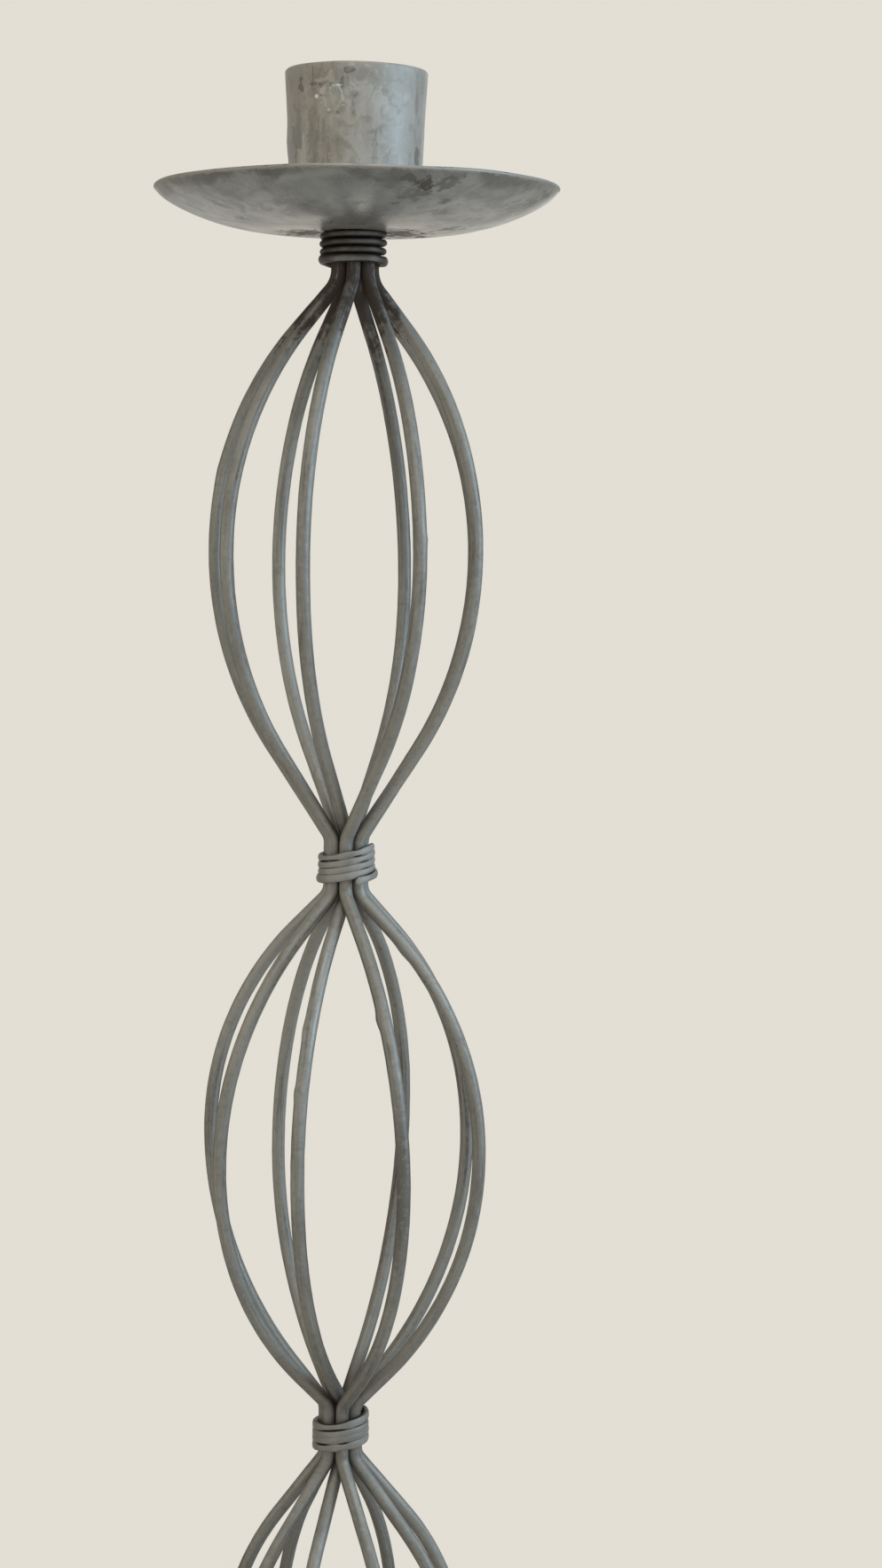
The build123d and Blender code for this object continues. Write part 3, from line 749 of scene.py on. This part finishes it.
# Marks under the pan: where, half sizes, and how strong. One is pale, two are brown marks beside the binding,
# and the rest are dark, the last two of them at the back
PAN_PALE_FRONT = ((-0.0020, -0.0340, 0.3815), (0.0150, 0.0080, 0.0060), 0.40)
PAN_BROWN_SPOTS = (
    ((0.0088, 0.0025, 0.3763), (0.0050, 0.0085, 0.0030), 0.90),
    ((-0.0095, 0.0040, 0.3763), (0.0042, 0.0065, 0.0030), 0.85),
)
PAN_MARKS = (
    ((0.0095, -0.0364, 0.3830), (0.0016, 0.0011, 0.0030), 0.75),
    ((0.0126, -0.0340, 0.3822), (0.0016, 0.0020, 0.0030), 0.95),
    ((0.0117, -0.0351, 0.3825), (0.0011, 0.0010, 0.0030), 0.75),
    ((0.0168, -0.0330, 0.3826), (0.0028, 0.0017, 0.0030), 0.62),
    ((0.0108, -0.0318, 0.3807), (0.0030, 0.0023, 0.0030), 0.46),
    ((0.0075, -0.0293, 0.3792), (0.0011, 0.0007, 0.0030), 0.60),
    ((0.0160, -0.0272, 0.3797), (0.0011, 0.0010, 0.0030), 0.30),
    ((0.0002, -0.0298, 0.3790), (0.0012, 0.0008, 0.0030), 0.22),
    ((-0.0256, -0.0184, 0.3797), (0.0016, 0.0010, 0.0030), 0.28),
    ((-0.0215, -0.0130, 0.3785), (0.0012, 0.0010, 0.0030), 0.30),
    ((-0.0161, -0.0321, 0.3820), (0.0050, 0.0024, 0.0030), 0.12),
    ((0.0183, -0.0058, 0.3767), (0.0030, 0.0030, 0.0030), 0.45),
    ((0.0353, -0.0113, 0.3826), (0.0018, 0.0030, 0.0008), 0.35),
    ((0.0330, -0.0112, 0.3813), (0.0020, 0.0040, 0.0006), 0.30),
    ((0.0152, -0.0226, 0.3781), (0.0024, 0.0012, 0.0012), 0.26),
    ((0.0163, -0.0271, 0.3797), (0.0009, 0.0007, 0.0010), 0.32),
    ((0.0340, -0.0160, 0.3832), (0.0060, 0.0100, 0.0040), 0.12),
    ((-0.0060, 0.0290, 0.3790), (0.0030, 0.0022, 0.0030), 0.45),
    ((0.0210, 0.0240, 0.3800), (0.0022, 0.0028, 0.0030), 0.40),
)


def blotch(tree, where, ragged, centre, halves, strength):
    """A ragged spot on a finish, full in its middle."""
    near = place(tree, "ShaderNodeMapping", {
        "Location": [-c / h for c, h in zip(centre, halves)],
        "Scale": [1 / h for h in halves],
    })
    feed(tree, near, {"Vector": where})
    edge = plus(tree, length_of(tree, near.outputs[0]), ramp(tree, ragged, 0.30, 0.70, -0.65, 0.65))
    return ramp(tree, edge, 0.60, 1.15, strength, 0.0)


pan_metal, tree, shader, bloom = new_metal("pan_zinc", metallic=0.70, cloud_size=0.011)
where = object_place(tree)
reach = from_axis(tree, where, PAN_ASIDE)
smear, peel, patch = place(tree, "ShaderNodeGroup", node_tree=sheet_smears).outputs
tone = handled_sheet(tree, bloom, smear, patch, smear_share=0.40)
tone = blend_colour(tree, ramp(tree, peel, 0.60, 0.74, 0.0, 0.14), tone, SHEET_PALE)
tone = blend_colour(tree, ramp(tree, reach, *PAN_EDGE_DARK, 0.0, 0.42), tone, SHEET_DARK)
# Painted reflection of the pale room on the pan's flat floor and the foot of its curve
tone = blend_colour(tree, ramp(tree, reach, *PAN_FLOOR_REFLECTION, 0.0, 0.58), tone, PAN_REFLECTION_TONE)
tone = blend_colour(tree, blotch(tree, where, smear, *PAN_PALE_FRONT), tone, SHEET_PALE)
dull = None
for mark in PAN_BROWN_SPOTS + PAN_MARKS:
    spot = blotch(tree, where, peel, *mark)
    tone = blend_colour(tree, spot, tone, SPOT_BROWN if mark in PAN_BROWN_SPOTS else SMOKE)
    dull = spot if dull is None else combine(tree, "MAXIMUM", dull, spot)
brown = ramp(tree, plus(tree, reach, ramp(tree, smear, 0.3, 0.7, -0.0012, 0.0012)), *PAN_BROWN)
more_left = ramp(tree, axes_of(tree, where)["X"], -0.02, 0.02, 0.60, 0.35)
tone = blend_colour(tree, times(tree, brown, more_left), tone, RIM_BROWN)
wear_and_light = ramp(tree, plus(tree, reach, ramp(tree, peel, 0.35, 0.65, -0.00030, 0.00005)), *PAN_WORN)
tone = blend_colour(tree, wear_and_light, tone, WORN_EDGE)
gloss = plus(tree, ramp(tree, smear, 0.3, 0.7, 0.26, 0.38), times(tree, dull, 0.35))
bare = combine(tree, "MINIMUM", ramp(tree, dull, 0.0, 1.0, 0.70, 0.05), ramp(tree, reach, *PAN_BARE, 0.56, 0.70))
feed(tree, shader, {
    "Base Color": tone,
    "Metallic": bare,
    "Roughness": plus(tree, gloss, times(tree, wear_and_light, 0.28)),
    "Specular IOR Level": 0.30,
})
set_bump(tree, shader, plus(tree, times(tree, bloom["Grain"], 0.05), smear), 0.00004)

pan_level = levels[7]
pan_bend = ((PAN_RADIUS - PAN_FLAT) ** 2 + PAN_DEPTH ** 2) / (2 * PAN_DEPTH)
pan_lean = asin((PAN_RADIUS - PAN_FLAT) / pan_bend)
bend_centre = Vector((PAN_FLAT, 0, pan_level + pan_bend))
lip = bend_centre + Vector((sin(pan_lean), 0, -cos(pan_lean))) * (pan_bend - PAN_SHEET / 2)
bm = bmesh.new()
pen = bm.verts.new((0, 0, pan_level))
pen = run_to(bm, pen, (PAN_FLAT, 0, pan_level), steps=8)
pen = curve_on(bm, pen, bend_centre, -pan_lean, steps=26)
pen = curve_on(bm, pen, lip, -pi, steps=8)
pen = curve_on(bm, pen, bend_centre, pan_lean, steps=26)
run_to(bm, pen, (0, 0, pan_level + PAN_SHEET), steps=8)
turn_on_lathe(bm)
for v in bm.verts:
    past = max(0.0, hypot(v.co.x, v.co.y) - PAN_FLAT)
    slack = min(1.0, past / PAN_FREE)
    spot = Vector((v.co.x, v.co.y, 0)) / PAN_UNEVEN_SIZE
    v.co.z += (noise.noise(spot) * PAN_UNEVEN + v.co.x * PAN_TILT) * slack
    share = past / (PAN_RADIUS - PAN_FLAT)
    v.co.z -= PAN_FULLNESS * share ** PAN_FULL_POWER * max(0.0, 1 - share ** PAN_RIM_POWER)
    v.co.x += PAN_ASIDE * slack
pan = as_piece(bm, "saucer", pan_metal)
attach(pan, "root")
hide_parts("drip_pan")


# Candle cup. A strip of sheet rolled into a short tube with a lapped seam at the back, flared a
# little at the mouth and brazed to the pan. Old wax and handling have streaked it up and down.
CUP_BORE = 0.0120
CUP_MOUTH = 0.01285
CUP_SEAT = 0.0125
CUP_HEIGHT = 0.0293
CUP_SHEET = 0.0009
CUP_UNEVEN = 0.00012
CUP_UNEVEN_SIZE = 0.011
CUP_BULGE = 0.00024
CUP_BULGE_RISE = 0.53
CUP_BULGE_SPREAD = 0.009
LIP_WEAR = 0.00015
LIP_WEAR_SIZE = 0.009
LIP_RISE = 0.9
SEAM_WAY = 100
SEAM_LAP = 0.00030
SEAM_FADE = 0.007
HANDLED_HEIGHTS = (0.3960, 0.4050)
CUP_GREY = (0.294, 0.293, 0.273, 1)
CUP_WARM = (0.285, 0.267, 0.234, 1)
CUP_PALE = (0.370, 0.365, 0.340, 1)
CUP_DARK = (0.100, 0.093, 0.080, 1)
PALE_WAX_AND_LIGHT = (0.420, 0.408, 0.375, 1)
WAX_GLINT = (0.620, 0.615, 0.590, 1)
# Marks on the cup: where, half sizes, and how strong. Most are dark smears; two are painted shade on the facets
# of a crumple near the lip, and one is a painted shadow under the wax flake
CUP_SMEARS_AND_SHADE = (
    ((-0.0105, -0.0087, 0.4030), (0.0006, 0.0009, 0.0022), 0.85),
    ((-0.0109, -0.0074, 0.3940), (0.0017, 0.0022, 0.0055), 0.45),
    ((-0.0082, -0.0101, 0.3935), (0.0012, 0.0016, 0.0075), 0.45),
    ((0.0117, -0.0058, 0.3905), (0.0005, 0.0010, 0.0022), 0.80),
    ((0.0115, -0.0070, 0.4000), (0.0004, 0.0009, 0.0040), 0.45),
    ((-0.0015, -0.0136, 0.4046), (0.0018, 0.0010, 0.0006), 0.90),
    ((-0.0052, -0.0120, 0.3880), (0.0005, 0.0009, 0.0050), 0.35),
    ((0.0022, -0.0130, 0.3950), (0.0008, 0.0010, 0.0050), 0.25),
    ((0.0060, -0.0118, 0.3890), (0.0010, 0.0012, 0.0022), 0.30),
    ((0.0040, 0.0130, 0.3900), (0.0016, 0.0012, 0.0060), 0.45),
    ((-0.0070, 0.0115, 0.3960), (0.0012, 0.0016, 0.0070), 0.40),
    # This mark and the next are painted shade on the dark facets of a crumple near the lip
    ((-0.0062, -0.0121, 0.4023), (0.0026, 0.0020, 0.0005), 0.85),
    ((-0.0027, -0.0132, 0.4030), (0.0006, 0.0010, 0.0015), 0.80),
    ((-0.0075, -0.0112, 0.4040), (0.0030, 0.0020, 0.0016), 0.28),
    # Painted shadow along the lower edge of the wax flake
    ((-0.0042, -0.0129, 0.3971), (0.0018, 0.0010, 0.00030), 0.70),
    ((-0.0062, -0.0120, 0.3900), (0.0004, 0.0009, 0.0060), 0.40),
)
# Pale runs of old wax: where, half sizes, and how strong. The first two are painted light on the lit facets of
# the crumple near the lip, and the last is a wide patch of painted light on the front, laid on as a film of old
# wax
CUP_RUNS_AND_LIGHT = (
    ((-0.0047, -0.0128, 0.4036), (0.0008, 0.0010, 0.0013), 0.40),
    ((-0.0066, -0.0119, 0.4030), (0.0011, 0.0012, 0.0005), 0.35),
    ((-0.0099, -0.0083, 0.3885), (0.0005, 0.0009, 0.0058), 0.75),
    ((-0.0107, -0.0072, 0.3872), (0.0006, 0.0009, 0.0034), 0.65),
    ((-0.0050, -0.0119, 0.3850), (0.0004, 0.0009, 0.0040), 0.45),
    ((0.0012, -0.0131, 0.3925), (0.0046, 0.0034, 0.0110), 0.32),
)
WAX_FLAKE = ((-0.0044, -0.0128, 0.3995), (0.0021, 0.0022, 0.0025), 1.0)
WAX_CRUMPLE = ((-0.0052, -0.0126, 0.4032), (0.0046, 0.0030, 0.0026), 1.0)
WAX_GLINTS = (
    ((-0.00746, -0.01115, 0.40006), (0.00032, 0.0006, 0.00032), 1.0),
    ((-0.0037, -0.0130, 0.4020), (0.0010, 0.0006, 0.00022), 0.7),
    ((-0.0026, -0.0131, 0.3984), (0.0007, 0.0006, 0.00022), 0.65),
    ((-0.0052, -0.0122, 0.3976), (0.0004, 0.0006, 0.00024), 0.55),
)

cup_metal, tree, shader, bloom = new_metal("cup_zinc", metallic=0.22, cloud_size=0.010)
where = object_place(tree)
drawn = place(tree, "ShaderNodeMapping", {"Scale": (1.0, 1.0, 0.22)})
feed(tree, drawn, {"Vector": where})
streak = noise_over(tree, drawn.outputs[0], 300.0, 5.0, 0.6, 0.9)
film = noise_over(tree, where, 420.0, 3.0, 0.55, 0.6)
tone = blend_colour(tree, bloom["Cloud"], CUP_GREY, CUP_WARM)
tone = blend_colour(tree, ramp(tree, streak, 0.54, 0.70, 0.0, 0.45), tone, CUP_PALE)
tone = blend_colour(tree, ramp(tree, streak, 0.46, 0.34, 0.0, 0.42), tone, CUP_DARK)
tone = blend_colour(tree, ramp(tree, film, 0.56, 0.62, 0.0, 0.20), tone, CUP_DARK)
tone = blend_colour(tree, ramp(tree, film, 0.42, 0.37, 0.0, 0.30), tone, CUP_PALE)
handled = plus(tree, axes_of(tree, where)["Z"], ramp(tree, film, 0.3, 0.7, -0.003, 0.003))
tone = blend_colour(tree, ramp(tree, handled, *HANDLED_HEIGHTS, 0.0, 0.24), tone, CUP_DARK)
for mark in CUP_SMEARS_AND_SHADE:
    tone = blend_colour(tree, blotch(tree, where, film, *mark), tone, CUP_DARK)
for mark in CUP_RUNS_AND_LIGHT:
    tone = blend_colour(tree, blotch(tree, where, film, *mark), tone, PALE_WAX_AND_LIGHT)
wax = blotch(tree, where, streak, *WAX_FLAKE)
# The flake is paler wax, with a painted highlight along its edge
wax_edge_highlight = times(tree, wax, combine(tree, "SUBTRACT", 1.0, wax))
tone = blend_colour(tree, plus(tree, times(tree, wax, 0.16), times(tree, wax_edge_highlight, 1.6)), tone, PALE_WAX_AND_LIGHT)
for mark in WAX_GLINTS:
    tone = blend_colour(tree, blotch(tree, where, film, *mark), tone, WAX_GLINT)
gloss = combine(tree, "SUBTRACT", ramp(tree, streak, 0.3, 0.7, 0.44, 0.56), times(tree, wax, 0.26))
feed(tree, shader, {"Base Color": tone, "Roughness": gloss})
crumple = times(tree, blotch(tree, where, streak, *WAX_CRUMPLE), film)
raised = plus(tree, times(tree, bloom["Grain"], 0.4), plus(tree, streak, film))
raised = plus(tree, raised, times(tree, wax, 1.6))
raised = plus(tree, raised, times(tree, crumple, 6.0))
set_bump(tree, shader, raised, 0.00005)

cup_level = pan_level + PAN_SHEET
cup_top = cup_level + CUP_HEIGHT
bm = bmesh.new()
pen = bm.verts.new((CUP_BORE, 0, cup_level))
pen = run_to(bm, pen, (CUP_BORE + CUP_SHEET, 0, cup_level), steps=1)
pen = run_to(bm, pen, (CUP_BORE + CUP_SHEET, 0, cup_level + CUP_SEAT), steps=8)
pen = run_to(bm, pen, (CUP_MOUTH + CUP_SHEET, 0, cup_top - CUP_SHEET / 2), steps=10)
pen = curve_on(bm, pen, (CUP_MOUTH + CUP_SHEET / 2, 0, cup_top - CUP_SHEET / 2), -pi, steps=8)
pen = run_to(bm, pen, (CUP_BORE, 0, cup_level + CUP_SEAT), steps=10)
run_to(bm, pen, (CUP_BORE, 0, cup_level), steps=8)
turn_on_lathe(bm)
for v in bm.verts:
    reach = hypot(v.co.x, v.co.y)
    rise = (v.co.z - cup_level) / CUP_HEIGHT
    past_seam = ((atan2(v.co.y, v.co.x) - radians(SEAM_WAY)) % tau) * reach
    free = min(1.0, (v.co.z - cup_level) / CUP_SEAT)
    out = noise.noise(v.co / CUP_UNEVEN_SIZE) * CUP_UNEVEN * free
    leftward = max(0.0, -v.co.x / reach)
    out += CUP_BULGE * exp(-(rise - CUP_BULGE_RISE) ** 2 / CUP_BULGE_SPREAD) * leftward ** 6
    if reach > CUP_BORE + CUP_SHEET / 2:
        out += SEAM_LAP * max(0.0, 1 - past_seam / SEAM_FADE)
    v.co.x += out * v.co.x / reach
    v.co.y += out * v.co.y / reach
    at_lip = max(0.0, rise - LIP_RISE) / (1 - LIP_RISE)
    v.co.z -= abs(noise.noise(v.co / LIP_WEAR_SIZE)) * LIP_WEAR * at_lip
cup = as_piece(bm, "rolled_cup", cup_metal, 50)
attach(cup, "root")
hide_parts("candle_cup")


# Cup braze. A hand-run fillet of braze between the foot of the cup and the pan's floor, lumpy and
# dull, a little wider in some places than in others.
BRAZE_LEG = 0.0012
BRAZE_GAP = 0.00006
BRAZE_LUMP = 0.00018
BRAZE_LUMP_SIZE = 0.0016

bm = bmesh.new()
braze_inner = CUP_BORE + CUP_SHEET + BRAZE_GAP
pen = bm.verts.new((braze_inner, 0, cup_level))
pen = run_to(bm, pen, (braze_inner + BRAZE_LEG, 0, cup_level), steps=2)
pen = curve_on(bm, pen, (braze_inner + BRAZE_LEG, 0, cup_level + BRAZE_LEG), pi / 2, steps=6)
run_to(bm, pen, (braze_inner, 0, cup_level), steps=2)
turn_on_lathe(bm)
for v in bm.verts:
    reach = hypot(v.co.x, v.co.y)
    share = min(1.0, (reach - braze_inner + v.co.z - cup_level) / BRAZE_LEG)
    lump = (noise.noise(v.co / BRAZE_LUMP_SIZE) - 0.3) * BRAZE_LUMP * share
    v.co.x += lump * v.co.x / reach
    v.co.y += lump * v.co.y / reach
    v.co.z += max(0.0, lump) * 0.5
braze = as_piece(bm, "cup_fillet", weld_metal)
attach(braze, "root")
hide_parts("cup_braze")


# Floor. A wide pale table top that keeps the shadow near the stick and fades into the backdrop's
# colour further out, so that no edge shows behind the object from any side.
FLOOR_RADIUS = 8.0
FLOOR_SIDES = 96
FLOOR_FADE = (0.10, 0.25)
BACKDROP = (0.765, 0.735, 0.665, 1)
FLOOR_PALE = (0.815, 0.760, 0.692, 1)


def seen_rays(tree):
    """The rays that show the backdrop's plain colour: to the camera, and off or through a surface."""
    path = place(tree, "ShaderNodeLightPath")
    shown = combine(tree, "MAXIMUM", path.outputs["Is Camera Ray"], path.outputs["Is Glossy Ray"])
    return combine(tree, "MAXIMUM", shown, path.outputs["Is Transmission Ray"])


def mix_shaders(tree, share, first, second, outlet):
    """Mixes two shaders by a share and sends them to the outlet of the tree."""
    mix = place(tree, "ShaderNodeMixShader")
    feed(tree, mix, {0: share, 1: first.outputs[0], 2: second.outputs[0]})
    feed(tree, tree.nodes[outlet], {"Surface": mix.outputs[0]})


floor_paint = bpy.data.materials.new("pale_floor")
floor_paint.use_nodes = True
tree = floor_paint.node_tree
shader = tree.nodes["Principled BSDF"]
feed(tree, shader, {"Base Color": FLOOR_PALE, "Roughness": 0.8, "Specular IOR Level": 0.1})
glow = place(tree, "ShaderNodeEmission", {"Color": BACKDROP, "Strength": 1.0})
far = ramp(tree, length_of(tree, object_place(tree)), *FLOOR_FADE)
mix_shaders(tree, times(tree, far, seen_rays(tree)), shader, glow, "Material Output")
bm = bmesh.new()
bmesh.ops.create_circle(bm, cap_ends=True, segments=FLOOR_SIDES, radius=FLOOR_RADIUS)
floor = as_piece(bm, "table_top", floor_paint)


# Light. A soft even room: a cool window to the right, a warmer wall to the left, a pale ceiling and
# broad soft lights in front and behind, and a backdrop of one pale colour that metal shows too.
ROOM_LIGHT = (0.97, 0.93, 0.80, 1)
ROOM_STRENGTH = 0.335
LIT_MIDDLE = Vector((0, 0, 0.28))
# Where each lamp stands, its width, its power and its colour
LAMPS = (
    ("window", (1.20, -0.38, 0.58), 0.80, 12.4, (0.53, 0.76, 1.0)),
    ("warm_wall", (-1.15, -0.40, 0.50), 0.90, 2.2, (1.0, 0.93, 0.76)),
    ("front_soft", (0.05, -1.25, 0.80), 0.80, 3.2, (1.0, 0.97, 0.90)),
    ("ceiling", (0.10, -0.45, 1.60), 1.00, 9.0, (1.0, 0.98, 0.93)),
    ("back_soft", (0.25, 1.20, 0.70), 0.90, 2.0, (0.95, 0.98, 1.0)),
)
for name, spot, size, watts, tint in LAMPS:
    lamp = bpy.data.lights.new(name, "AREA")
    lamp.shape = "DISK"
    lamp.size = size
    lamp.energy = watts
    lamp.color = tint
    light = bpy.data.objects.new(name, lamp)
    light.location = spot
    light.rotation_euler = (LIT_MIDDLE - Vector(spot)).to_track_quat("-Z", "Y").to_euler()
    light.visible_camera = False
    bpy.context.scene.collection.objects.link(light)

room = bpy.data.worlds.new("room")
bpy.context.scene.world = room
room.use_nodes = True
tree = room.node_tree
seen = tree.nodes["Background"]
feed(tree, seen, {"Color": BACKDROP, "Strength": 1.0})
lit = place(tree, "ShaderNodeBackground", {"Color": ROOM_LIGHT, "Strength": ROOM_STRENGTH})
mix_shaders(tree, seen_rays(tree), lit, seen, "World Output")
bpy.context.scene.view_settings.view_transform = "Standard"


# Camera. It stands a little below the drip pan and looks slightly down, so that the pan shows its
# underside and the stick runs out of the picture below its third cage.
PICTURE_HEIGHT = 1767
FOCAL_PIXELS = 2800
SENSOR_HEIGHT = 36.0
NEAREST = 0.01
CAMERA_PLACE = (0.0, -0.4914, 0.3319)
CAMERA_TURN = 0.037
CAMERA_DIP = 0.128
CAMERA_ROLL = 0.0145

level_ahead = Vector((sin(CAMERA_TURN), cos(CAMERA_TURN), 0))
ahead = level_ahead * cos(CAMERA_DIP) - up * sin(CAMERA_DIP)
right = Vector((cos(CAMERA_TURN), -sin(CAMERA_TURN), 0))
upward = right.cross(ahead)
rolled_right = right * cos(CAMERA_ROLL) + upward * sin(CAMERA_ROLL)
rolled_up = upward * cos(CAMERA_ROLL) - right * sin(CAMERA_ROLL)
turned = Matrix((rolled_right, rolled_up, -ahead)).transposed().to_4x4()
lens = bpy.data.cameras.new("camera")
lens.sensor_fit = "VERTICAL"
lens.sensor_height = SENSOR_HEIGHT
lens.lens = FOCAL_PIXELS / PICTURE_HEIGHT * SENSOR_HEIGHT
lens.clip_start = NEAREST
camera = bpy.data.objects.new("camera", lens)
camera.matrix_world = Matrix.Translation(CAMERA_PLACE) @ turned
bpy.context.scene.collection.objects.link(camera)
bpy.context.scene.camera = camera
